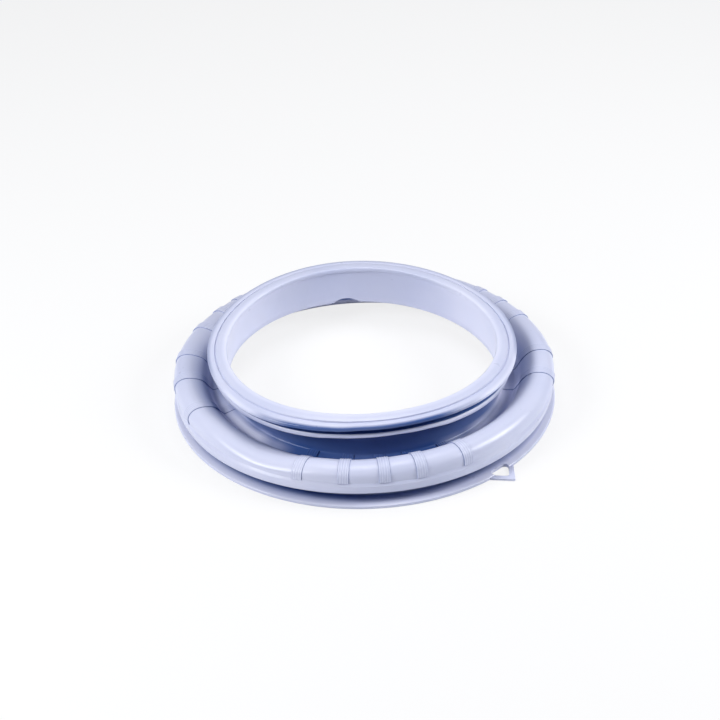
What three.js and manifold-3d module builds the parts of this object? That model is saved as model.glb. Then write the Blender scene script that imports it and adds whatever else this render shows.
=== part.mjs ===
// Door seal of a front-loading washing machine, moulded in one piece of soft rubber.
// It lies on its tub flange, as on a bench: the door lip is at the top.
// Millimetres, +Z up, origin at the centre of the flange's underside, -Y is the side with the tab.

import * as THREE from 'three';
import { mergeVertices } from 'three/addons/utils/BufferGeometryUtils.js';
import Module from 'manifold-3d';

const wasm = await Module();
wasm.setup();

// Door lip and outer rim, at the top
const mouthRadius = 132.4;
const lipOverhang = 1.8;
const lipHeight = 4.2;
const landWidth = 11.4;
const landDrop = 0.9;
const slotWidth = 1.3;
const slotDepth = 1.8;
const rimDrop = 1.7;
const rimFall = 0.8;
const rimThickness = 3.3;
const rimReach = 9.8;

// Groove for the cabinet's edge, and the bead under it
const cabinetGrooveWidth = 5.9;
const cabinetGrooveStep = 4.1;
const beadThickness = 4.0;
const beadReach = 6.1;
const beadTaper = 2.0;

// Neck wall and valley
const neckWall = 4.2;
const neckHeight = 23.4;
const valleyHeight = 22.6;
const valleyWidth = 12.4;

// Hollow fold
const foldWall = 3.0;
const foldInnerRun = 13.0;
const foldRise = 20.8;
const foldTopWidth = 21.7;
const foldTopFall = 1.0;
const foldOuterRun = 0.7;
const foldInnerRoundness = 0.78;
const foldOuterRoundness = 0.53;

// Tub lip, clamp groove and tub flange
const tubLipHeight = 9.6;
const tubLipFlare = 2.2;
const flareHeight = 2.6;
const tubLipUndercut = 0.9;
const tubLipFall = 1.4;
const clampGrooveDepth = 12.5;
const clampGrooveWidth = 10.2;
const flangeThickness = 3.0;
const flangeRise = 1.6;
const flangeReach = 15.0;

// Channel for the tub's edge, open to below
const channelWallThickness = 3.6;
const channelWidth = 3.4;
const channelDepth = 10.8;
const innerWallThickness = 3.0;
const innerWallLift = 5.4;

// Straps of thicker rubber across the fold
const strapWidth = 10.6;
const strapRaise = 1.1;
const strapSink = 1.2;
const strapAngles = [
  -133.5, -124.5, -113, -96.2, -82.2, -65.8, -20.3, -6.8, 5.0, 15.7, 30.2, 79.7, 93.1, 115.5,
  126.3, 135.6,
];

// Pull tab on the flange, with a window
const tabAngle = 41.7;
const tabReach = 17.2;
const tabHalfAngle = 41.5;
const tabThickness = 2.2;
const tabRounding = 1.2;
const tabBorder = 4.9;
const tabWindowInset = 6.4;
const tabWindowRounding = 3.4;

// Drain notch at the foot of the neck wall
const notchAngle = 187;
const notchWidth = 30;
const notchPeak = 3.4;
const notchSpring = 2.2;
const notchClearance = 3;

// Roundings
const lipRounding = 1.6;
const rimRounding = 1.2;
const beadRounding = 1.5;
const valleyFootRounding = 4;
const neckFootRounding = 3;
const flangeRounding = 1.2;

// Fineness of the faceted solid
const ringSteps = 76;
const chordError = 0.3;

const degree = Math.PI / 180;

// Radii and heights that follow from the sizes above
const neckInnerRadius = mouthRadius + lipOverhang;
const neckOuterRadius = neckInnerRadius + neckWall;
const cabinetGrooveRadius = neckOuterRadius + cabinetGrooveStep;
const beadRadius = cabinetGrooveRadius + beadReach;
const rimRadius = cabinetGrooveRadius + rimReach;
const valleyFootRadius = neckOuterRadius + valleyWidth;
const foldInnerRadius = valleyFootRadius + foldInnerRun;
const foldOuterRadius = foldInnerRadius + foldTopWidth;
const foldInnerRounding = foldTopWidth * foldInnerRoundness;
const foldOuterRounding = foldTopWidth * foldOuterRoundness;
const foldFootRadius = foldOuterRadius + foldOuterRun;
const tubLipRadius = foldFootRadius + tubLipFlare;
const clampGrooveRadius = tubLipRadius - tubLipUndercut - clampGrooveDepth;
const flangeRadius = clampGrooveRadius + flangeReach;
const channelOuterRadius = clampGrooveRadius - channelWallThickness;
const channelInnerRadius = channelOuterRadius - channelWidth;
const innerWallRadius = channelInnerRadius - innerWallThickness;

const clampGrooveFloor = flangeThickness + flangeRise;
const clampGrooveTop = clampGrooveFloor + clampGrooveWidth;
const tubLipTop = clampGrooveTop + tubLipHeight;
const foldFootHeight = tubLipTop + flareHeight;
const hollowFloor = clampGrooveTop + foldWall;
const foldTopHeight = valleyHeight + foldRise;
const beadBottom = valleyHeight + neckHeight;
const beadEdgeBottom = beadBottom + beadTaper;
const beadTop = beadEdgeBottom + beadThickness;
const rimBottom = beadTop + cabinetGrooveWidth;
const rimTop = rimBottom + rimThickness;
const lipTop = rimTop + rimFall + rimDrop;

// A corner of an outline in the half plane (radius, height), with the radius of its rounding
function corner(radius, height, rounding = 0) {
  return { radius, height, rounding };
}

// Unit vector from one corner to the next
function direction(from, to) {
  const step = new THREE.Vector2(to.radius - from.radius, to.height - from.height);
  return step.normalize();
}

// Points of an outline: each rounded corner becomes an arc tangent to both of its sides
function roundedPoints(corners, closed) {
  const points = [];
  const count = corners.length;
  corners.forEach((here, index) => {
    const apex = new THREE.Vector2(here.radius, here.height);
    const isEnd = !closed && (index === 0 || index === count - 1);
    if (isEnd || here.rounding <= 0) {
      points.push(apex);
      return;
    }
    const before = corners[(index + count - 1) % count];
    const after = corners[(index + 1) % count];
    const arriving = direction(before, here);
    const leaving = direction(here, after);
    const turn = Math.atan2(arriving.cross(leaving), arriving.dot(leaving));
    const tangent = here.rounding * Math.tan(Math.abs(turn) / 2);
    const side = Math.sign(turn);
    const start = apex.clone().addScaledVector(arriving, -tangent);
    const normal = new THREE.Vector2(-arriving.y, arriving.x).multiplyScalar(side);
    const centre = start.clone().addScaledVector(normal, here.rounding);
    const step = 2 * Math.acos(1 - Math.min(chordError / here.rounding, 0.3));
    const pieces = Math.max(1, Math.round(Math.abs(turn) / step));
    for (let piece = 0; piece <= pieces; piece += 1) {
      points.push(start.clone().rotateAround(centre, (turn * piece) / pieces));
    }
  });
  return points;
}

// The same line of corners, moved sideways; a positive distance moves it to the left of its run
function movedCorners(corners, distance) {
  return corners.map((here, index) => {
    const before = corners[index - 1];
    const after = corners[index + 1];
    const arriving = before ? direction(before, here) : direction(here, after);
    const leaving = after ? direction(here, after) : arriving;
    const sum = new THREE.Vector2(-arriving.y - leaving.y, arriving.x + leaving.x);
    const shift = sum.multiplyScalar(distance / (1 + arriving.dot(leaving)));
    const side = Math.sign(arriving.cross(leaving));
    const rounding = Math.max(0, here.rounding - side * distance);
    return corner(here.radius + shift.x, here.height + shift.y, rounding);
  });
}

// Outer face of the flexible wall, from the neck over the fold to the tub lip
const flexibleWall = [
  corner(neckOuterRadius, beadBottom),
  corner(neckOuterRadius, valleyHeight),
  corner(valleyFootRadius, valleyHeight, valleyFootRounding),
  corner(foldInnerRadius, foldTopHeight, foldInnerRounding),
  corner(foldOuterRadius, foldTopHeight - foldTopFall, foldOuterRounding),
  corner(foldFootRadius, foldFootHeight),
  corner(tubLipRadius, tubLipTop),
];

// Underside of the same wall, one wall thickness away
function undersideCorners() {
  const moved = movedCorners(flexibleWall, -foldWall);
  const [, , foot, inner, outer, flare] = moved;
  return [
    corner(flare.radius, hollowFloor),
    outer,
    inner,
    foot,
    corner(neckInnerRadius, valleyHeight - foldWall, neckFootRounding),
  ];
}

// Door lip, slot and outer rim, the cabinet groove and the bead
const slotRadius = mouthRadius + landWidth;
const lipCorners = [
  corner(neckInnerRadius, lipTop - lipHeight - lipOverhang),
  corner(mouthRadius, lipTop - lipHeight),
  corner(mouthRadius, lipTop, lipRounding),
  corner(slotRadius, lipTop - landDrop),
  corner(slotRadius, lipTop - landDrop - slotDepth),
  corner(slotRadius + slotWidth, lipTop - landDrop - slotDepth),
  corner(slotRadius + slotWidth, lipTop - rimDrop),
  corner(rimRadius, rimTop, rimRounding),
  corner(rimRadius, rimBottom),
  corner(cabinetGrooveRadius, rimBottom),
  corner(cabinetGrooveRadius, beadTop),
  corner(beadRadius, beadTop, beadRounding),
  corner(beadRadius, beadEdgeBottom),
];

// Tub lip, clamp groove, flange and the channel that takes the tub's edge
const tubCorners = [
  corner(tubLipRadius - tubLipUndercut, clampGrooveTop + tubLipFall),
  corner(clampGrooveRadius, clampGrooveTop),
  corner(clampGrooveRadius, clampGrooveFloor),
  corner(flangeRadius, flangeThickness, flangeRounding),
  corner(flangeRadius, 0),
  corner(channelOuterRadius, 0),
  corner(channelOuterRadius, channelDepth),
  corner(channelInnerRadius, channelDepth),
  corner(channelInnerRadius, innerWallLift),
  corner(innerWallRadius, innerWallLift),
  corner(innerWallRadius, hollowFloor),
];

// Geometry to solid, and back
function toSolid(geometry) {
  geometry.deleteAttribute('normal');
  geometry.deleteAttribute('uv');
  const welded = mergeVertices(geometry, 1e-4);
  const mesh = new wasm.Mesh({
    numProp: 3,
    vertProperties: new Float32Array(welded.attributes.position.array),
    triVerts: new Uint32Array(welded.index.array),
  });
  return new wasm.Manifold(mesh);
}

function toGeometry(solid) {
  const mesh = solid.getMesh();
  const geometry = new THREE.BufferGeometry();
  geometry.setAttribute('position', new THREE.BufferAttribute(mesh.vertProperties, mesh.numProp));
  geometry.setIndex(new THREE.BufferAttribute(mesh.triVerts, 1));
  geometry.computeVertexNormals();
  return geometry;
}

// Ring turned from the whole section; the lathe's own axis is Y, so it is stood up afterwards
function ringSolid() {
  const corners = [...lipCorners, ...flexibleWall, ...tubCorners, ...undersideCorners()];
  const outline = roundedPoints(corners, true);
  outline.reverse();
  outline.push(outline[0].clone());
  const geometry = new THREE.LatheGeometry(outline, ringSteps);
  geometry.rotateX(90 * degree);
  return toSolid(geometry);
}

// Strap that follows the wall from the neck's foot to the flare, sunk into it and standing proud
function strapSolid(angle) {
  const run = flexibleWall.slice(1, 6);
  run[0] = corner(neckOuterRadius - strapSink, valleyHeight);
  const proud = roundedPoints(movedCorners(run, strapRaise), false);
  const sunk = roundedPoints(movedCorners(run, -strapSink), false);
  const section = new THREE.Shape([...proud, ...sunk.reverse()]);
  const geometry = new THREE.ExtrudeGeometry(section, { depth: strapWidth, bevelEnabled: false });
  geometry.translate(0, 0, -strapWidth / 2);
  geometry.rotateX(90 * degree);
  geometry.rotateZ((angle - 90) * degree);
  return toSolid(geometry);
}

// Triangle with rounded corners whose tip lies at the given radius, pointing along +X
function tipTriangle(tip, base, rounding) {
  const halfWidth = (tip - base) * Math.tan(tabHalfAngle * degree);
  return roundedPoints([
    corner(tip, 0, rounding),
    corner(base, halfWidth, rounding),
    corner(base, -halfWidth, rounding),
  ], true);
}

// Flat tab that grows out of the flange
const tabTip = flangeRadius + tabReach;

function tabSolid() {
  const outline = new THREE.Shape(tipTriangle(tabTip, clampGrooveRadius + 1, tabRounding));
  const geometry = new THREE.ExtrudeGeometry(outline, { depth: tabThickness, bevelEnabled: false });
  geometry.rotateZ((tabAngle - 90) * degree);
  return toSolid(geometry);
}

// Window in the tab, which leaves a border of even width and reaches a little into the flange
function windowSolid() {
  const tip = tabTip - tabBorder / Math.sin(tabHalfAngle * degree);
  const base = flangeRadius - tabWindowInset;
  const outline = new THREE.Shape(tipTriangle(tip, base, tabWindowRounding));
  const depth = clampGrooveFloor + 2;
  const geometry = new THREE.ExtrudeGeometry(outline, { depth, bevelEnabled: false });
  geometry.translate(0, 0, -1);
  geometry.rotateZ((tabAngle - 90) * degree);
  return toSolid(geometry);
}

// Arched opening through the foot of the neck wall, open to below
function notchSolid() {
  const half = notchWidth / 2;
  const low = valleyHeight - foldWall - notchClearance;
  const spring = valleyHeight - notchSpring;
  const rise = notchPeak + notchSpring;
  const archRadius = (half * half + rise * rise) / (2 * rise);
  const springAngle = Math.asin(half / archRadius);
  const outline = new THREE.Shape();
  outline.moveTo(-half, low);
  outline.lineTo(half, low);
  outline.lineTo(half, spring);
  outline.absarc(0, spring + rise - archRadius, archRadius, 90 * degree - springAngle,
    90 * degree + springAngle, false);
  const inner = mouthRadius - notchClearance;
  const outer = neckOuterRadius + notchClearance;
  const geometry = new THREE.ExtrudeGeometry(outline, {
    depth: outer - inner,
    bevelEnabled: false,
    curveSegments: 10,
  });
  geometry.rotateX(90 * degree);
  geometry.translate(0, -inner, 0);
  geometry.rotateZ(notchAngle * degree);
  return toSolid(geometry);
}

const straps = strapAngles.map((angle) => strapSolid(angle));
const moulding = straps.reduce((body, strap) => body.add(strap), ringSolid())
  .add(tabSolid())
  .subtract(windowSolid())
  .subtract(notchSolid());

const rubber = new THREE.MeshStandardMaterial({
  color: new THREE.Color(0.60, 0.63, 0.74),
  roughness: 0.42,
  metalness: 0,
});

const doorSeal = new THREE.Mesh(toGeometry(moulding), rubber);
doorSeal.name = 'door_seal';

const part = new THREE.Group();
part.add(doorSeal);

export default part;
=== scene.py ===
import math

import bmesh
import bpy
import numpy as np
from mathutils import Matrix, Vector


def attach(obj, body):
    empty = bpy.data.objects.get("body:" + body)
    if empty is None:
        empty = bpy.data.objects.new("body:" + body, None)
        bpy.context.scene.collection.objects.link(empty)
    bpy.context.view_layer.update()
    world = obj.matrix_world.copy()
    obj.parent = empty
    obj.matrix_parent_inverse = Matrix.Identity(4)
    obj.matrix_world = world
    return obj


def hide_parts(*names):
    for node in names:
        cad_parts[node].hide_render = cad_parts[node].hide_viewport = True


# Door seal of a front-loading washing machine, one moulding of soft grey rubber, lying on its tub
# flange with the door lip at the top. Sizes are in millimetres until a mesh is made; the model is
# in metres. Angles go round the seal's axis from the front (-Y) towards +X.

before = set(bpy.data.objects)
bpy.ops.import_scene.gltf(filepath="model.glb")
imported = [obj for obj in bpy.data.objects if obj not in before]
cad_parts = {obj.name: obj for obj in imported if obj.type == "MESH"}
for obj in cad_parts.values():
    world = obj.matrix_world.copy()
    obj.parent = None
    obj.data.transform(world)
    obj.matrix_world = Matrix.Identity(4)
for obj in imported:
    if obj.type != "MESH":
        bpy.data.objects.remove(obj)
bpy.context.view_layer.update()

MM = 0.001
TOUCHING = 1e-6  # metres within which two points count as one

# ---------------------------------------------------------------- sizes of the moulding
MOUTH_RADIUS = 132.4
LIP_OVERHANG = 1.8
LIP_HEIGHT = 4.2
LAND_WIDTH = 11.4
LAND_DROP = 0.9
SLOT_WIDTH = 1.3
SLOT_DEPTH = 1.8
RIM_DROP = 1.7
RIM_FALL = 0.8
RIM_THICKNESS = 3.3
RIM_REACH = 9.8

CABINET_GROOVE_WIDTH = 5.9
CABINET_GROOVE_STEP = 4.1
BEAD_THICKNESS = 4.0
BEAD_REACH = 6.1
BEAD_TAPER = 2.0

NECK_WALL = 4.2
NECK_HEIGHT = 23.4
VALLEY_HEIGHT = 22.6
VALLEY_WIDTH = 12.4

FOLD_WALL = 3.0
FOLD_INNER_RUN = 13.0
FOLD_RISE = 20.8
FOLD_TOP_WIDTH = 21.7
FOLD_TOP_FALL = 1.0
FOLD_OUTER_RUN = 0.7
FOLD_INNER_ROUNDING = 17.0
FOLD_OUTER_ROUNDING = 11.5

TUB_LIP_HEIGHT = 9.6
TUB_LIP_FLARE = 2.2
FLARE_HEIGHT = 2.6
TUB_LIP_UNDERCUT = 0.9
TUB_LIP_FALL = 1.4
CLAMP_GROOVE_DEPTH = 12.5
CLAMP_GROOVE_WIDTH = 10.2
FLANGE_THICKNESS = 3.0
FLANGE_RISE = 1.6
FLANGE_REACH = 15.0

CHANNEL_WALL = 3.6
CHANNEL_WIDTH = 3.4
CHANNEL_DEPTH = 10.8
INNER_WALL = 3.0
INNER_WALL_LIFT = 5.4

STRAP_WIDTH = 10.6
STRAP_RAISE = 1.1
STRAP_SINK = 1.2
STRAP_ANGLES = [-133.5, -124.5, -113, -96.2, -82.2, -65.8, -20.3, -6.8, 5.0, 15.7, 30.2,
                79.7, 93.1, 115.5, 126.3, 135.6]
STRAP_SHOULDER = 0.7
STRAP_RIB_PITCH = 2.4
STRAP_RIB_DEPTH = 0.35
STRAP_RIB_POINTS = 4
RIB_SHADE = 0.3

TAB_ANGLE = 41.7
TAB_REACH = 17.2
TAB_HALF_ANGLE = 41.5
TAB_THICKNESS = 2.2
TAB_EDGE = 0.45
TAB_BASE_STEP = 1.0
TAB_ROUNDING = 1.2
TAB_BORDER = 4.9
TAB_WINDOW_INSET = 6.4
TAB_WINDOW_ROUNDING = 3.4

NOTCH_ANGLE = 187.0
NOTCH_WIDTH = 30.0
NOTCH_PEAK = 3.4
NOTCH_SPRING = 2.2
NOTCH_CLEARANCE = 3.0
NOTCH_ARCH_STEPS = 24
CUTTER_OVERLAP = 1.0

# Small radii that every moulded edge has
FINE = 0.5
TIGHT = 0.3

# How far a chord may lie inside its arc, as a share of the radius
CHORD_SHARE = 0.16
STEPS_ROUND = 420
SHARP_ANGLE = 38

# Radii and heights that follow
NECK_INNER = MOUTH_RADIUS + LIP_OVERHANG
NECK_OUTER = NECK_INNER + NECK_WALL
GROOVE_RADIUS = NECK_OUTER + CABINET_GROOVE_STEP
BEAD_RADIUS = GROOVE_RADIUS + BEAD_REACH
RIM_RADIUS = GROOVE_RADIUS + RIM_REACH
VALLEY_FOOT = NECK_OUTER + VALLEY_WIDTH
FOLD_INNER = VALLEY_FOOT + FOLD_INNER_RUN
FOLD_OUTER = FOLD_INNER + FOLD_TOP_WIDTH
FOLD_FOOT = FOLD_OUTER + FOLD_OUTER_RUN
TUB_LIP = FOLD_FOOT + TUB_LIP_FLARE
CLAMP_GROOVE = TUB_LIP - TUB_LIP_UNDERCUT - CLAMP_GROOVE_DEPTH
FLANGE = CLAMP_GROOVE + FLANGE_REACH
CHANNEL_OUTER = CLAMP_GROOVE - CHANNEL_WALL
CHANNEL_INNER = CHANNEL_OUTER - CHANNEL_WIDTH
INNER_WALL_RADIUS = CHANNEL_INNER - INNER_WALL

CLAMP_FLOOR = FLANGE_THICKNESS + FLANGE_RISE
CLAMP_TOP = CLAMP_FLOOR + CLAMP_GROOVE_WIDTH
TUB_LIP_TOP = CLAMP_TOP + TUB_LIP_HEIGHT
FOLD_FOOT_HEIGHT = TUB_LIP_TOP + FLARE_HEIGHT
HOLLOW_FLOOR = CLAMP_TOP + FOLD_WALL
FOLD_TOP = VALLEY_HEIGHT + FOLD_RISE
BEAD_BOTTOM = VALLEY_HEIGHT + NECK_HEIGHT
BEAD_EDGE = BEAD_BOTTOM + BEAD_TAPER
BEAD_TOP = BEAD_EDGE + BEAD_THICKNESS
RIM_BOTTOM = BEAD_TOP + CABINET_GROOVE_WIDTH
RIM_TOP = RIM_BOTTOM + RIM_THICKNESS
LIP_TOP = RIM_TOP + RIM_FALL + RIM_DROP


# ---------------------------------------------------------------- outlines
def unit(v):
    return v / np.linalg.norm(v)


def rounded(corners, closed, arc=0.05, longest=5.0):
    """Points along (radius, height, rounding) corners, with arcs, and with long runs split."""
    points = []
    count = len(corners)
    for i, (r, z, rounding) in enumerate(corners):
        apex = np.array([r, z], float)
        if rounding <= 0 or (not closed and i in (0, count - 1)):
            points.append(apex)
            continue
        before = np.array(corners[i - 1][:2], float)
        after = np.array(corners[(i + 1) % count][:2], float)
        arriving, leaving = unit(apex - before), unit(after - apex)
        cross = arriving[0] * leaving[1] - arriving[1] * leaving[0]
        turn = math.atan2(cross, float(arriving @ leaving))
        start = apex - arriving * rounding * math.tan(abs(turn) / 2)
        side = math.copysign(1, turn)
        centre = start + np.array([-arriving[1], arriving[0]]) * side * rounding
        step = 2 * math.acos(1 - min(arc / rounding, CHORD_SHARE))
        pieces = max(2, round(abs(turn) / step))
        for k in range(pieces + 1):
            c, s = math.cos(turn * k / pieces), math.sin(turn * k / pieces)
            spoke = start - centre
            points.append(centre + np.array([c * spoke[0] - s * spoke[1],
                                             s * spoke[0] + c * spoke[1]]))
    split = []
    for i, p in enumerate(points):
        split.append(p)
        if not closed and i == len(points) - 1:
            break
        q = points[(i + 1) % len(points)]
        parts = math.ceil(np.linalg.norm(q - p) / longest)
        split += [p + (q - p) * k / parts for k in range(1, parts)]
    return np.array(split)


def moved(corners, distance):
    """The same line of corners moved to the left of its run."""
    out = []
    for i, (r, z, rounding) in enumerate(corners):
        here = np.array([r, z], float)
        arriving = unit(here - np.array(corners[i - 1][:2])) if i else None
        leaving = unit(np.array(corners[i + 1][:2]) - here) if i + 1 < len(corners) else arriving
        arriving = leaving if arriving is None else arriving
        total = np.array([-arriving[1] - leaving[1], arriving[0] + leaving[0]])
        spot = here + total * distance / (1 + float(arriving @ leaving))
        side = math.copysign(1, arriving[0] * leaving[1] - arriving[1] * leaving[0])
        out.append((spot[0], spot[1], max(0.0, rounding - side * distance)))
    return out


FLEXIBLE_WALL = [
    (NECK_OUTER, BEAD_BOTTOM, 1.2),
    (NECK_OUTER, VALLEY_HEIGHT, 1.6),
    (VALLEY_FOOT, VALLEY_HEIGHT, 4.0),
    (FOLD_INNER, FOLD_TOP, FOLD_INNER_ROUNDING),
    (FOLD_OUTER, FOLD_TOP - FOLD_TOP_FALL, FOLD_OUTER_ROUNDING),
    (FOLD_FOOT, FOLD_FOOT_HEIGHT, 0.6),
    (TUB_LIP, TUB_LIP_TOP, 0.8),
]

SLOT_RADIUS = MOUTH_RADIUS + LAND_WIDTH
LIP_LINE = [
    (NECK_INNER, LIP_TOP - LIP_HEIGHT - LIP_OVERHANG, 1.0),
    (MOUTH_RADIUS, LIP_TOP - LIP_HEIGHT, 0.8),
    (MOUTH_RADIUS, LIP_TOP, 1.6),
    (SLOT_RADIUS, LIP_TOP - LAND_DROP, FINE),
    (SLOT_RADIUS, LIP_TOP - LAND_DROP - SLOT_DEPTH, TIGHT),
    (SLOT_RADIUS + SLOT_WIDTH, LIP_TOP - LAND_DROP - SLOT_DEPTH, TIGHT),
    (SLOT_RADIUS + SLOT_WIDTH, LIP_TOP - RIM_DROP, 0.4),
    (RIM_RADIUS, RIM_TOP, 1.2),
    (RIM_RADIUS, RIM_BOTTOM, 0.8),
    (GROOVE_RADIUS, RIM_BOTTOM, FINE),
    (GROOVE_RADIUS, BEAD_TOP, FINE),
    (BEAD_RADIUS, BEAD_TOP, 1.5),
    (BEAD_RADIUS, BEAD_EDGE, 1.0),
]

TUB_LINE = [
    (TUB_LIP - TUB_LIP_UNDERCUT, CLAMP_TOP + TUB_LIP_FALL, 0.8),
    (CLAMP_GROOVE, CLAMP_TOP, 0.8),
    (CLAMP_GROOVE, CLAMP_FLOOR, 0.8),
    (FLANGE, FLANGE_THICKNESS, 1.2),
    (FLANGE, 0.0, FINE),
    (CHANNEL_OUTER, 0.0, FINE),
    (CHANNEL_OUTER, CHANNEL_DEPTH, FINE),
    (CHANNEL_INNER, CHANNEL_DEPTH, FINE),
    (CHANNEL_INNER, INNER_WALL_LIFT, FINE),
    (INNER_WALL_RADIUS, INNER_WALL_LIFT, FINE),
    (INNER_WALL_RADIUS, HOLLOW_FLOOR, 1.0),
]


def underside():
    """The inner face of the flexible wall, one wall thickness away, from the flare to the neck."""
    line = moved(FLEXIBLE_WALL, -FOLD_WALL)
    return [
        (line[5][0], HOLLOW_FLOOR, 1.0),
        line[4],
        line[3],
        line[2],
        (NECK_INNER, VALLEY_HEIGHT - FOLD_WALL, 3.0),
    ]


def section():
    return rounded([*LIP_LINE, *FLEXIBLE_WALL, *TUB_LINE, *underside()], True)


# ---------------------------------------------------------------- helper meshes for the node tree
def mesh_object(name, points, edges=(), faces=()):
    mesh = bpy.data.meshes.new(name)
    mesh.from_pydata([tuple(p) for p in points], edges, faces)
    mesh.update()
    obj = bpy.data.objects.new(name, mesh)
    bpy.context.scene.collection.objects.link(obj)
    return obj


def section_object():
    """The closed section, in the half plane x = radius, z = height, in metres."""
    line = section() * MM
    count = len(line)
    return mesh_object("section", [(r, 0, z) for r, z in line],
                       [(i, (i + 1) % count) for i in range(count)])


def strap_object():
    """One strap at the front: a ribbed band that follows the wall and stands proud of it.

    Its painted crease shade is 1 on both edges of the band and RIB_SHADE between the ribs.
    """
    run = [(NECK_OUTER - STRAP_SINK, VALLEY_HEIGHT, 0.0), *FLEXIBLE_WALL[2:5],
           (FOLD_FOOT, FOLD_FOOT_HEIGHT, 0.0)]
    path = rounded(run, False, arc=0.12, longest=4.0)
    along = np.gradient(path, axis=0)
    along /= np.linalg.norm(along, axis=1)[:, None]
    normals = np.stack([-along[:, 1], along[:, 0]], axis=1)
    half, ribbed = STRAP_WIDTH / 2, STRAP_WIDTH - 2 * STRAP_SHOULDER
    side = [(-half, -STRAP_SINK), (-half, 0.1), (-half + 0.12, 0.55 * STRAP_RAISE),
            (-half + 0.4, 0.9 * STRAP_RAISE)]
    side_shade = [0.0, 1.0, 1.0, 0.0]
    loop, shade = list(side), list(side_shade)
    steps = STRAP_RIB_POINTS * round(ribbed / STRAP_RIB_PITCH)
    for k in range(steps + 1):
        dip = 0.5 - 0.5 * math.cos(2 * math.pi * k / STRAP_RIB_POINTS)
        loop.append((-half + STRAP_SHOULDER + ribbed * k / steps,
                     STRAP_RAISE - STRAP_RIB_DEPTH * dip))
        shade.append(RIB_SHADE * (k % STRAP_RIB_POINTS == STRAP_RIB_POINTS // 2))
    loop += [(-s, h) for s, h in reversed(side)]
    shade += reversed(side_shade)
    points, faces = [], []
    for spot, normal in zip(path, normals):
        for s, h in loop:
            r, z = spot + normal * h
            points.append((s * MM, -r * MM, z * MM))
    girth, length = len(loop), len(path)
    for j in range(length - 1):
        for k in range(girth):
            n = (k + 1) % girth
            faces.append((j * girth + k, j * girth + n, (j + 1) * girth + n,
                          (j + 1) * girth + k))
    faces.append(tuple(range(girth))[::-1])
    faces.append(tuple((length - 1) * girth + k for k in range(girth)))
    obj = mesh_object("strap", points, (), faces)
    # Painted shade along the strap's edges and between its ribs
    painted_crease_shade = obj.data.attributes.new("painted_crease_shade", "FLOAT", "POINT")
    painted_crease_shade.data.foreach_set("value", shade * length)
    outwards(obj.data)
    return obj


def strap_places():
    """A point for each strap, with how far it is turned round the axis."""
    obj = mesh_object("strap_places", [(0, 0, 0)] * len(STRAP_ANGLES))
    turn = obj.data.attributes.new("turn", "FLOAT", "POINT")
    turn.data.foreach_set("value", [math.radians(a) for a in STRAP_ANGLES])
    return obj


def prism(name, outline, low, high, edge=0.0):
    """A plate or cutter at the tab's angle, its outline in the plan, its edges rounded by edge."""
    bm = bmesh.new()
    floor = [bm.verts.new((x * MM, y * MM, low * MM)) for x, y in outline]
    face = bm.faces.new(floor)
    raised = bmesh.ops.extrude_face_region(bm, geom=[face])
    top = [v for v in raised["geom"] if isinstance(v, bmesh.types.BMVert)]
    bmesh.ops.translate(bm, verts=top, vec=(0, 0, (high - low) * MM))
    bmesh.ops.recalc_face_normals(bm, faces=bm.faces)
    if edge:
        rims = [e for e in bm.edges if abs(e.verts[0].co.z - e.verts[1].co.z) < TOUCHING]
        bmesh.ops.bevel(bm, geom=rims, offset=edge * MM, segments=3, affect="EDGES", profile=0.5)
    turn = Matrix.Rotation(math.radians(TAB_ANGLE - 90), 3, "Z")
    bmesh.ops.rotate(bm, verts=bm.verts, matrix=turn)
    obj = mesh_object(name, [])
    bm.to_mesh(obj.data)
    bm.free()
    return obj


def tip_triangle(tip, base, rounding):
    """A rounded triangle from its tip radius to its base radius, with the tab's angle."""
    half = (tip - base) * math.tan(math.radians(TAB_HALF_ANGLE))
    return rounded([(tip, 0, rounding), (base, half, rounding), (base, -half, rounding)], True)


def tab_object():
    outline = tip_triangle(FLANGE + TAB_REACH, CLAMP_GROOVE + TAB_BASE_STEP, TAB_ROUNDING)
    return prism("tab", outline, 0, TAB_THICKNESS, TAB_EDGE)


def window_object():
    tip = FLANGE + TAB_REACH - TAB_BORDER / math.sin(math.radians(TAB_HALF_ANGLE))
    outline = tip_triangle(tip, FLANGE - TAB_WINDOW_INSET, TAB_WINDOW_ROUNDING)
    return prism("tab_window", outline, -CUTTER_OVERLAP, CLAMP_FLOOR + CUTTER_OVERLAP)


def notch_object():
    """The arched drain opening through the foot of the neck wall, as the tool that cuts it."""
    half = NOTCH_WIDTH / 2
    low = VALLEY_HEIGHT - FOLD_WALL - NOTCH_CLEARANCE
    spring = VALLEY_HEIGHT - NOTCH_SPRING
    rise = NOTCH_PEAK + NOTCH_SPRING
    arch = (half * half + rise * rise) / (2 * rise)
    reach = math.asin(half / arch)
    outline = [(-half, low), (half, low)]
    for k in range(NOTCH_ARCH_STEPS + 1):
        a = reach - 2 * reach * k / NOTCH_ARCH_STEPS
        outline.append((arch * math.sin(a), spring + rise - arch + arch * math.cos(a)))
    inner, outer = MOUTH_RADIUS - NOTCH_CLEARANCE, NECK_OUTER + NOTCH_CLEARANCE
    count = len(outline)
    points = [(x * MM, -depth * MM, z * MM) for depth in (inner, outer) for x, z in outline]
    faces = [(i, (i + 1) % count, count + (i + 1) % count, count + i) for i in range(count)]
    faces += [tuple(range(count))[::-1], tuple(range(count, 2 * count))]
    obj = mesh_object("notch", points, (), faces)
    obj.data.transform(Matrix.Rotation(math.radians(NOTCH_ANGLE), 4, "Z"))
    outwards(obj.data)
    return obj


def outwards(mesh):
    """Turns the faces of closed shells outwards."""
    bm = bmesh.new()
    bm.from_mesh(mesh)
    bmesh.ops.recalc_face_normals(bm, faces=bm.faces)
    bm.to_mesh(mesh)
    bm.free()


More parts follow.
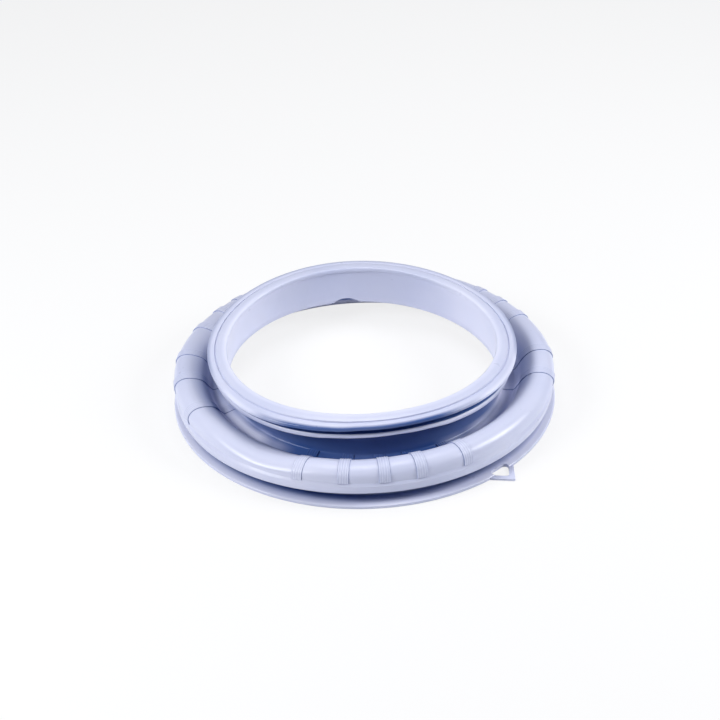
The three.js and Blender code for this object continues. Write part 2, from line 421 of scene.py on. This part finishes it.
# ---------------------------------------------------------------- node tree of the moulding
class Nodes:
    """A node tree, with one word for adding a node with its inputs, links and settings."""

    def __init__(self, tree):
        self.tree = tree

    def add(self, kind, inputs=(), **settings):
        node = self.tree.nodes.new(kind)
        for key, value in settings.items():
            setattr(node, key, value)
        for key, value in dict(inputs).items():
            socket = node.inputs[key]
            if isinstance(value, bpy.types.NodeSocket):
                self.tree.links.new(value, socket)
            else:
                socket.default_value = value
        return node


class Tree(Nodes):
    """A geometry node tree with named inputs."""

    def __init__(self, name, inputs):
        super().__init__(bpy.data.node_groups.new(name, "GeometryNodeTree"))
        self.sockets = {}
        face = self.tree.interface
        face.new_socket("Geometry", in_out="OUTPUT", socket_type="NodeSocketGeometry")
        face.new_socket("Geometry", in_out="INPUT", socket_type="NodeSocketGeometry")
        for label, kind in inputs:
            made = face.new_socket(label, in_out="INPUT", socket_type=kind)
            self.sockets[label] = made.identifier
        self.given = self.add("NodeGroupInput").outputs

    def math(self, operation, a, b=None):
        values = {0: a} if b is None else {0: a, 1: b}
        return self.add("ShaderNodeMath", values, operation=operation).outputs[0]

    def shape_of(self, label):
        """The geometry of the helper object given under that name."""
        info = self.add("GeometryNodeObjectInfo", {"Object": self.given[label]})
        return info.outputs["Geometry"]


def moulding_tree():
    """Turns the section round the axis, adds tab and straps, and cuts the window and the notch."""
    t = Tree("moulded_ring", [
        ("Section", "NodeSocketObject"), ("Strap", "NodeSocketObject"),
        ("Strap places", "NodeSocketObject"), ("Tab", "NodeSocketObject"),
        ("Tab window", "NodeSocketObject"), ("Drain notch", "NodeSocketObject"),
        ("Steps round", "NodeSocketInt"), ("Rubber", "NodeSocketMaterial")])
    outline = t.shape_of("Section")
    size = t.add("GeometryNodeAttributeDomainSize", {"Geometry": outline}).outputs["Point Count"]
    rows = t.math("ADD", size, 1.0)
    columns = t.math("ADD", t.given["Steps round"], 1.0)
    sheet = t.add("GeometryNodeMeshGrid", {"Vertices X": columns, "Vertices Y": rows})
    index = t.add("GeometryNodeInputIndex").outputs[0]
    column = t.math("FLOOR", t.math("DIVIDE", t.math("ADD", index, 0.5), rows))
    row = t.math("SUBTRACT", index, t.math("MULTIPLY", column, rows))
    spot = t.add("GeometryNodeSampleIndex", {
        "Geometry": outline, "Value": t.add("GeometryNodeInputPosition").outputs[0],
        "Index": t.math("MODULO", row, size)}, data_type="FLOAT_VECTOR", domain="POINT")
    angle = t.math("DIVIDE", t.math("MULTIPLY", column, math.tau), t.given["Steps round"])
    turned = t.add("ShaderNodeVectorRotate", {"Vector": spot.outputs[0], "Angle": angle},
                   rotation_type="Z_AXIS")
    ring = t.add("GeometryNodeSetPosition", {
        "Geometry": sheet.outputs["Mesh"], "Position": turned.outputs[0]})
    ring = t.add("GeometryNodeMergeByDistance", {
        "Geometry": ring.outputs[0], "Distance": TOUCHING})

    whole = t.add("GeometryNodeMeshBoolean", operation="UNION", solver="EXACT")
    t.tree.links.new(ring.outputs[0], whole.inputs["Mesh 2"])
    t.tree.links.new(t.shape_of("Tab"), whole.inputs["Mesh 2"])
    cut = t.add("GeometryNodeMeshBoolean", {"Mesh 1": whole.outputs["Mesh"]},
                operation="DIFFERENCE", solver="EXACT")
    for tool in ("Tab window", "Drain notch"):
        t.tree.links.new(t.shape_of(tool), cut.inputs["Mesh 2"])

    turn = t.add("GeometryNodeInputNamedAttribute", {"Name": "turn"}, data_type="FLOAT")
    euler = t.add("ShaderNodeCombineXYZ", {"Z": turn.outputs["Attribute"]})
    way = t.add("FunctionNodeEulerToRotation", {"Euler": euler.outputs[0]})
    straps = t.add("GeometryNodeInstanceOnPoints", {
        "Points": t.shape_of("Strap places"), "Instance": t.shape_of("Strap"),
        "Rotation": way.outputs[0]})
    joined = t.add("GeometryNodeJoinGeometry")
    for part in (straps, cut):
        t.tree.links.new(part.outputs[0], joined.inputs[0])
    real = t.add("GeometryNodeRealizeInstances", {"Geometry": joined.outputs[0]})
    coated = t.add("GeometryNodeSetMaterial", {
        "Geometry": real.outputs[0], "Material": t.given["Rubber"]})
    t.add("NodeGroupOutput", {0: coated.outputs[0]})
    return t


def grown(name, tree, values):
    """An object made by the tree from the given inputs, as a plain mesh."""
    obj = mesh_object(name, [])
    modifier = obj.modifiers.new("moulding", "NODES")
    modifier.node_group = tree.tree
    for label, value in values.items():
        modifier[tree.sockets[label]] = value
    bpy.context.view_layer.update()
    depsgraph = bpy.context.evaluated_depsgraph_get()
    mesh = bpy.data.meshes.new_from_object(obj.evaluated_get(depsgraph), depsgraph=depsgraph)
    obj.modifiers.remove(modifier)
    obj.data = mesh
    mesh.name = name
    for value in values.values():
        if isinstance(value, bpy.types.Object):
            bpy.data.objects.remove(value)
    return obj


# ---------------------------------------------------------------- how the soft ring has settled
TOP_WAVE_2COS = 3.1
TOP_WAVE_2SIN = 1.3
BASE_SHIFT = 1.4
FOOT_TILT = 4.5
FOOT_BACK_RISE = 3.2

# Radii and heights where a movement starts or stops; between the two of a pair it fades in
TOP_START = 45
NECK_REACH = 146
NECK_HEIGHTS = (21, 46)
FOOT_START = 15
FOOT_RADII = (166, 146)
FOLD_RADII = (140, 156)
FOLD_HEIGHTS = (4, 16)
BRIM_RADII = (140, 152)
BEAD_RADII = (139, 149)
LEAN_RADII = (158, 174)
LEAN_HEIGHTS = (TUB_LIP_TOP, TUB_LIP_TOP + 9)

# How far each edge hangs down, or the fold leans out, as (degrees round the ring, mm)
FOLD_SAG = [(-85, 1.6), (-58, 4.4), (-34, 9.6), (-10, 4.4), (16, 1.6)]
LIP_SAG = [(-125, 0.3), (-60, 3.3), (5, 0.3)]
BRIM_SAG = [(-85, 0), (-62, 1.8), (-45, 4.0), (-33, 3.8), (-20, 2.7), (-10, 1.8), (0, 0.3),
            (20, 0.2), (35, 1.2), (48, 2.0), (66, 3.4), (78, 4.0), (92, 1.0), (110, 0)]
BEAD_SAG = [(-105, 0), (-75, 1.5), (-50, 3.2), (-30, 3.4), (-20, 3.0), (-8, 1.6), (0, 1.2),
            (12, 0.8), (22, 1.6), (35, 3.8), (48, 4.8), (62, 5.4), (82, 1.0), (100, 0)]
FOLD_LEAN = [(-130, 0), (-95, 2.2), (-70, 2.2), (-45, 0), (50, 0), (75, 2.8), (95, 2.2), (130, 0)]

# How much painted shade each recess gets, with a painted highlight under 0, as (degrees round the
# ring, amount)
GROOVE_PAINTED_LIGHT_AND_SHADE = [(-70, 0.3), (-56, 1.2), (-46, 1.38), (-30, 1.38), (-20, 1.3), (30, 1.3),
                (46, 1.38), (64, 1.3), (74, -0.3), (110, 0.3)]
BEAD_PAINTED_LIGHT_AND_SHADE = [(-60, 0), (-44, 0.3), (-20, 0.15), (-10, 0), (0, -0.3), (48, -0.3), (62, 0)]
NECK_PAINTED_SHADE = [(-74, 0), (-62, 0.7), (-52, 1.25), (-30, 1.3), (30, 1.25), (54, 1.2), (70, 0.9),
              (82, 0)]
FLOOR_PAINTED_LIGHT_AND_SHADE = [(-110, 0.4), (-80, 0.6), (-66, 0.1), (-55, -0.3), (-45, -0.2), (-36, 0.7),
               (-26, 1.35), (0, 1.25), (26, 1.35), (40, 0.5), (52, -0.3), (76, -0.3), (88, 0.5),
               (125, 0.4)]
FLOOR_INNER_PAINTED_SHADE = [(-78, 0), (-62, 0.7), (-48, 1.2), (-34, 0.4), (-26, 0), (30, 0), (44, 0.6),
                     (62, 0.8), (74, 0)]
SLOPE_PAINTED_SHADE = [(-130, 0), (-112, 0.3), (-95, 0.7), (-78, 1.0), (-64, 1.15), (-52, 1.0),
               (-42, 0.5), (-32, 0), (56, 0), (66, 0.2), (76, 0.8), (94, 0.8), (108, 0.4),
               (125, 0)]
FLANGE_PAINTED_SHADE = [(-110, 0), (-75, 0.35), (-10, 0.35), (20, 0)]
INNER_WALL_PAINTED_LIGHT_AND_SHADE = [(-160, 0.1), (-115, -0.3), (115, -0.3), (160, 0.1)]
# Painted shade on the sides that the drain notch has cut, and the palest painted highlight allowed
NOTCH_PAINTED_SHADE = 1.35
BRIGHTEST_PAINTED_LIGHT = -0.45

# The zones that get painted shade or painted highlight, as (least radius, largest radius, least
# height, largest height)
GROOVE_ZONE = (NECK_INNER + 2, math.inf, BEAD_TOP - 0.2, RIM_BOTTOM + 0.3)
BEAD_ZONE = (147.9, 150, BEAD_EDGE - 0.4, BEAD_TOP + 0.1)
NECK_ZONE = (NECK_INNER + 2, 146, 24.2, BEAD_BOTTOM + 0.5)
FLOOR_ZONE = (NECK_INNER + 2, 160, 21, 24.2)
SLOPE_FOOT_ZONE = (150, 156, 22.5, math.inf)
SLOPE_ZONE = (155, 174, 22.5, math.inf)
INNER_WALL_ZONE = (0, NECK_INNER + 0.4, 24, math.inf)
CLAMP_ZONE = (173, math.inf, 5, TUB_LIP_TOP - 7.5)
FLANGE_ZONE = (173, math.inf, 2.9, 5)

# Radii between which the painted shade of a zone fades from none to all of it
GROOVE_FADE = (148.6, 147.4)
FLOOR_INNER_FADE = (145, 140)
SLOPE_FADE = (170, 158)
CLAMP_FADE = (188, 181)

# How much paler the flange gets outwards, as painted light after painted shade on its inner part,
# between these radii, and how much farther out the second one lies in the middle of the front
FLANGE_PAINTED_LIGHT = 1.7
FLANGE_FADE = (178, 185)
FLANGE_FARTHER = 3
FRONT_MIDDLE = (math.radians(70), math.radians(10))

# How near to the drain notch's cut the middle of a face has to lie
NOTCH_SKIN = 0.15
NOTCH_NEAR = 0.06
NOTCH_FOOT = 16


def share(value, none, full):
    """How far a value has come from none to full, from 0 to 1."""
    return np.clip((value - none) / (full - none), 0, 1)


def eased(start, end, way):
    """From start to end as way goes from 0 to 1, level at both."""
    return start + (end - start) * way * way * (3 - 2 * way)


def around(turn, marks):
    """A value that passes smoothly from mark to mark, and stays level beyond the last ones."""
    at, value = np.radians([m[0] for m in marks]), np.array([m[1] for m in marks], float)
    k = np.clip(np.searchsorted(at, turn) - 1, 0, len(at) - 2)
    return eased(value[k], value[k + 1], share(turn, at[k], at[k + 1]))


def painted_recess_light_and_shade(r, z, turn):
    """How much painted shade a point gets: 0 in the open, 1 or more in a deep recess, under 0 a
    painted highlight that makes it pale.
    """
    depth = np.zeros(len(r))

    def within(amount, *zones):
        for near, far, low, high in zones:
            np.copyto(depth, amount, where=(r > near) & (r < far) & (z > low) & (z <= high))

    within(share(r, *GROOVE_FADE) * around(turn, GROOVE_PAINTED_LIGHT_AND_SHADE), GROOVE_ZONE)
    within(around(turn, BEAD_PAINTED_LIGHT_AND_SHADE), BEAD_ZONE)
    within(around(turn, NECK_PAINTED_SHADE), NECK_ZONE)
    within(around(turn, FLOOR_PAINTED_LIGHT_AND_SHADE)
           + share(r, *FLOOR_INNER_FADE) * around(turn, FLOOR_INNER_PAINTED_SHADE),
           FLOOR_ZONE, SLOPE_FOOT_ZONE)
    within(share(r, *SLOPE_FADE) * around(turn, SLOPE_PAINTED_SHADE), SLOPE_ZONE)
    within(around(turn, INNER_WALL_PAINTED_LIGHT_AND_SHADE), INNER_WALL_ZONE)
    within(share(r, *CLAMP_FADE), CLAMP_ZONE)
    # The flange gets painted shade near the fold and painted light outwards, farther out at the
    # front
    edge = FLANGE_FADE[1] + FLANGE_FARTHER * share(np.abs(turn), *FRONT_MIDDLE)
    within(1 - FLANGE_PAINTED_LIGHT * share(r, FLANGE_FADE[0], edge) + around(turn, FLANGE_PAINTED_SHADE),
           FLANGE_ZONE)
    return np.maximum(depth, BRIGHTEST_PAINTED_LIGHT)


def notch_cut(co):
    """Which of the points lie on the sides that the drain notch has cut."""
    r, turn = np.hypot(co[:, 0], co[:, 1]), np.arctan2(co[:, 0], -co[:, 1])
    away = turn - math.radians(NOTCH_ANGLE)
    along, across = r * np.cos(away), r * np.sin(away)
    in_wall = (r > NECK_INNER + NOTCH_SKIN) & (r < NECK_OUTER - NOTCH_SKIN)
    in_floor = np.abs(along - NECK_OUTER - NOTCH_CLEARANCE) < NOTCH_NEAR
    low = (along > 0) & (co[:, 2] < VALLEY_HEIGHT + NOTCH_PEAK + NOTCH_SKIN)
    beside = np.abs(across) < NOTCH_WIDTH / 2 + NOTCH_NEAR
    return (in_wall & (co[:, 2] > NOTCH_FOOT) | in_floor) & low & beside


def paint_recess_shade(mesh, depth):
    """Keeps the painted shade of each corner of each face, and paints the sides that the drain
    notch has cut dark with painted shade.
    """
    corners = np.empty(len(mesh.loops), np.int32)
    mesh.loops.foreach_get("vertex_index", corners)
    middles = np.empty(len(mesh.polygons) * 3)
    mesh.polygons.foreach_get("center", middles)
    sides = np.empty(len(mesh.polygons), np.int32)
    mesh.polygons.foreach_get("loop_total", sides)
    values = depth[corners]
    values[np.repeat(notch_cut(middles.reshape(-1, 3) / MM), sides)] = NOTCH_PAINTED_SHADE
    recess_painted_shade = mesh.attributes.new("recess_painted_shade", "FLOAT", "CORNER")
    recess_painted_shade.data.foreach_set("value", values.astype(np.float32))


def settle(mesh):
    """Moves the points as the rubber has settled.

    The rim has a low wave and the neck's foot is tilted. The fold, the tub lip and the brims of
    rim and bead hang down, and the fold leans out at the sides.
    """
    co = np.empty(len(mesh.vertices) * 3)
    mesh.vertices.foreach_get("co", co)
    co = co.reshape(-1, 3) / MM
    x, y, z = co.T
    r, turn = np.hypot(x, y), np.arctan2(x, -y)
    # Painted shade and painted highlight are worked out from where each point lies before it moves
    paint_recess_shade(mesh, painted_recess_light_and_shade(r, z, turn))
    top = np.where(z > TOP_START, 1.0, np.where(r < NECK_REACH, share(z, *NECK_HEIGHTS), 0))
    foot = (1 - top) * share(r, *FOOT_RADII) * (z > FOOT_START)
    wave = TOP_WAVE_2COS * np.cos(2 * turn) + TOP_WAVE_2SIN * np.sin(2 * turn)
    tilt = -FOOT_TILT * np.sin(turn) + FOOT_BACK_RISE * np.clip(-np.cos(turn), 0, 1) ** 2
    sag = eased(around(turn, LIP_SAG), around(turn, FOLD_SAG), share(z, TUB_LIP_TOP, FOLD_TOP))
    fold = (1 - top) * share(r, *FOLD_RADII) * share(z, *FOLD_HEIGHTS)
    edge_sag = np.where(z > RIM_BOTTOM - 0.5, share(r, *BRIM_RADII) * around(turn, BRIM_SAG),
                        share(r, *BEAD_RADII) * around(turn, BEAD_SAG))
    lean = (1 - top) * share(r, *LEAN_RADII) * share(z, *LEAN_HEIGHTS)
    lean *= around(turn, FOLD_LEAN) / r
    co[:, 0] = x + BASE_SHIFT * (1 - top) + x * lean
    co[:, 1] = y + y * lean
    co[:, 2] = z + top * (wave - edge_sag) + foot * tilt - fold * sag
    mesh.vertices.foreach_set("co", (co * MM).ravel())
    mesh.update()


# ---------------------------------------------------------------- rubber
class Finish(Nodes):
    """A material with its Principled shader, and short words for noise and tints."""

    def __init__(self, name):
        self.material = bpy.data.materials.new(name)
        self.material.use_nodes = True
        super().__init__(self.material.node_tree)
        self.shader = self.tree.nodes["Principled BSDF"]

    def noise(self, scale, detail, rough=0.5):
        here = self.add("ShaderNodeTexCoord").outputs["Object"]
        return self.add("ShaderNodeTexNoise", {
            "Vector": here, "Scale": scale, "Detail": detail, "Roughness": rough}).outputs["Fac"]

    def span(self, value, low, high):
        """The middle of a noise, spread from low to high."""
        return self.add("ShaderNodeMapRange", {
            "Value": value, "From Min": 0.3, "From Max": 0.7,
            "To Min": low, "To Max": high}).outputs["Result"]

    def tinted(self, colour, attribute, tint, clamp):
        """A colour times a tint, as far as the attribute of the mesh says."""
        mix = self.add("ShaderNodeMix", {
            "Factor": self.add("ShaderNodeAttribute", attribute_name=attribute).outputs["Fac"]},
            data_type="RGBA", blend_type="MULTIPLY", clamp_factor=clamp)
        self.tree.links.new(colour, mix.inputs["A"])
        mix.inputs["B"].default_value = tint
        return mix.outputs["Result"]


RUBBER_PALE = (0.680, 0.705, 0.870, 1)
RUBBER_COOL = (0.620, 0.655, 0.845, 1)
# Colours that the painted shade of the recesses and of the strap creases multiply the rubber by
PAINTED_SHADE_TINT = (0.30, 0.36, 0.52, 1)
PAINTED_CREASE_SHADE_TINT = (0.38, 0.44, 0.60, 1)
POLISH = (0.27, 0.37)
SWELL_STRENGTH = 0.35
SWELL_HEIGHT = 0.0009


def rubber_finish():
    """Semi-gloss lavender-grey rubber: cloudy tone, painted shade and painted highlight in the
    recesses, painted shade along the strap creases, uneven polish and slight waviness.
    """
    f = Finish("lavender_rubber")
    cloud = f.span(f.noise(14, 3), 0, 1)
    tone = f.add("ShaderNodeMix", {"Factor": cloud}, data_type="RGBA")
    tone.inputs["A"].default_value = RUBBER_PALE
    tone.inputs["B"].default_value = RUBBER_COOL
    # Painted shade in the recesses, and painted highlight where the amount is under 0; painted
    # shade on the strap creases
    colour = f.tinted(tone.outputs["Result"], "recess_painted_shade", PAINTED_SHADE_TINT, False)
    colour = f.tinted(colour, "painted_crease_shade", PAINTED_CREASE_SHADE_TINT, True)
    f.tree.links.new(colour, f.shader.inputs["Base Color"])
    polish = f.span(f.noise(45, 4, 0.6), *POLISH)
    f.tree.links.new(polish, f.shader.inputs["Roughness"])
    swell = f.add("ShaderNodeBump", {
        "Height": f.noise(60, 2), "Strength": SWELL_STRENGTH, "Distance": SWELL_HEIGHT})
    f.tree.links.new(swell.outputs["Normal"], f.shader.inputs["Normal"])
    f.shader.inputs["Specular IOR Level"].default_value = 0.5
    f.shader.inputs["IOR"].default_value = 1.5
    return f.material


# ---------------------------------------------------------------- the seal
def make_seal():
    rubber = rubber_finish()
    seal = grown("seal", moulding_tree(), {
        "Section": section_object(),
        "Strap": strap_object(),
        "Strap places": strap_places(),
        "Tab": tab_object(),
        "Tab window": window_object(),
        "Drain notch": notch_object(),
        "Steps round": STEPS_ROUND,
        "Rubber": rubber,
    })
    settle(seal.data)
    seal.data.shade_smooth()
    seal.data.set_sharp_from_angle(angle=math.radians(SHARP_ANGLE))
    return seal


seal = make_seal()
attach(seal, "root")
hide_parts("door_seal")


# ---------------------------------------------------------------- floor, light and camera
FLOOR_HALF = 3
FLOOR_HEIGHT = -0.0003
FLOOR_COLOUR = (0.88, 0.89, 0.92, 1)
FLOOR_WHITENESS = 0.8
FILL_COLOUR = (0.42, 0.55, 1.0, 1)
FILL_STRENGTH = 0.06
WHITE = (1, 1, 1, 1)

# Softboxes, as (name, spot, size, power)
SOFTBOXES = [
    ("ceiling", (0.0, 0.4, 1.7), 1.0, 11),
    ("left", (-1.15, -0.55, 1.0), 0.7, 17),
    ("right", (1.35, -0.15, 0.95), 0.7, 17),
]
LIGHT_TARGET = (0, 0, 0)

CAMERA_TARGET = Vector((0, 0, 0.05))
CAMERA_DISTANCE = 1.7
CAMERA_ELEVATION = 0.5745
CAMERA_ROLL = -0.029
CAMERA_LENS = 86.0
SENSOR_WIDTH = 36
CAMERA_SHIFT = (-0.0026, -0.0139)


def white_floor():
    """A plain pale floor that shows white to the camera and keeps a faint shadow."""
    corners = [(x * FLOOR_HALF, y * FLOOR_HALF, FLOOR_HEIGHT)
               for x, y in ((-1, -1), (1, -1), (1, 1), (-1, 1))]
    floor = mesh_object("floor", corners, (), [(0, 1, 2, 3)])
    f = Finish("pale_floor")
    f.shader.inputs["Base Color"].default_value = FLOOR_COLOUR
    f.shader.inputs["Roughness"].default_value = 0.9
    rays = f.add("ShaderNodeLightPath").outputs
    seen = f.add("ShaderNodeMath", {0: rays["Is Camera Ray"], 1: rays["Is Glossy Ray"]},
                 operation="MAXIMUM")
    seen = f.add("ShaderNodeMath", {0: seen.outputs[0], 1: rays["Is Transmission Ray"]},
                 operation="MAXIMUM")
    part = f.add("ShaderNodeMath", {0: seen.outputs[0], 1: FLOOR_WHITENESS},
                 operation="MULTIPLY")
    white = f.add("ShaderNodeEmission", {"Color": WHITE, "Strength": 1.0})
    both = f.add("ShaderNodeMixShader", {
        0: part.outputs[0], 1: f.shader.outputs[0], 2: white.outputs[0]})
    f.tree.links.new(both.outputs[0], f.tree.nodes["Material Output"].inputs["Surface"])
    floor.data.materials.append(f.material)


def studio_world():
    """Cool, low light from all round, with a plain white background for the camera."""
    world = bpy.data.worlds.new("studio")
    world.use_nodes = True
    n = Nodes(world.node_tree)
    n.tree.nodes.clear()
    rays = n.add("ShaderNodeLightPath").outputs
    seen = n.add("ShaderNodeMath", {0: rays["Is Camera Ray"], 1: rays["Is Transmission Ray"]},
                 operation="MAXIMUM")
    fill = n.add("ShaderNodeBackground", {"Color": FILL_COLOUR, "Strength": FILL_STRENGTH})
    white = n.add("ShaderNodeBackground", {"Color": WHITE})
    both = n.add("ShaderNodeMixShader", {
        0: seen.outputs[0], 1: fill.outputs[0], 2: white.outputs[0]})
    n.add("ShaderNodeOutputWorld", {"Surface": both.outputs[0]})
    bpy.context.scene.world = world


def softbox(name, spot, size, power):
    """A round soft light at spot that points at the target."""
    lamp = bpy.data.lights.new(name, "AREA")
    lamp.shape = "DISK"
    lamp.size = size
    lamp.energy = power
    obj = bpy.data.objects.new(name, lamp)
    obj.location = spot
    way = Vector(LIGHT_TARGET) - Vector(spot)
    obj.rotation_euler = way.to_track_quat("-Z", "Y").to_euler()
    bpy.context.scene.collection.objects.link(obj)


def make_camera():
    data = bpy.data.cameras.new("camera")
    data.lens = CAMERA_LENS
    data.sensor_width = SENSOR_WIDTH
    data.shift_x, data.shift_y = CAMERA_SHIFT
    data.clip_start = 0.05
    cam = bpy.data.objects.new("camera", data)
    e = CAMERA_ELEVATION
    cam.location = CAMERA_TARGET + CAMERA_DISTANCE * Vector((0, -math.cos(e), math.sin(e)))
    tilt = Matrix.Rotation(math.pi / 2 - e, 3, "X")
    cam.rotation_euler = (tilt @ Matrix.Rotation(CAMERA_ROLL, 3, "Z")).to_euler()
    bpy.context.scene.collection.objects.link(cam)
    bpy.context.scene.camera = cam


white_floor()
studio_world()
for name, spot, size, power in SOFTBOXES:
    softbox(name, spot, size, power)
make_camera()
bpy.context.scene.view_settings.view_transform = "Standard"
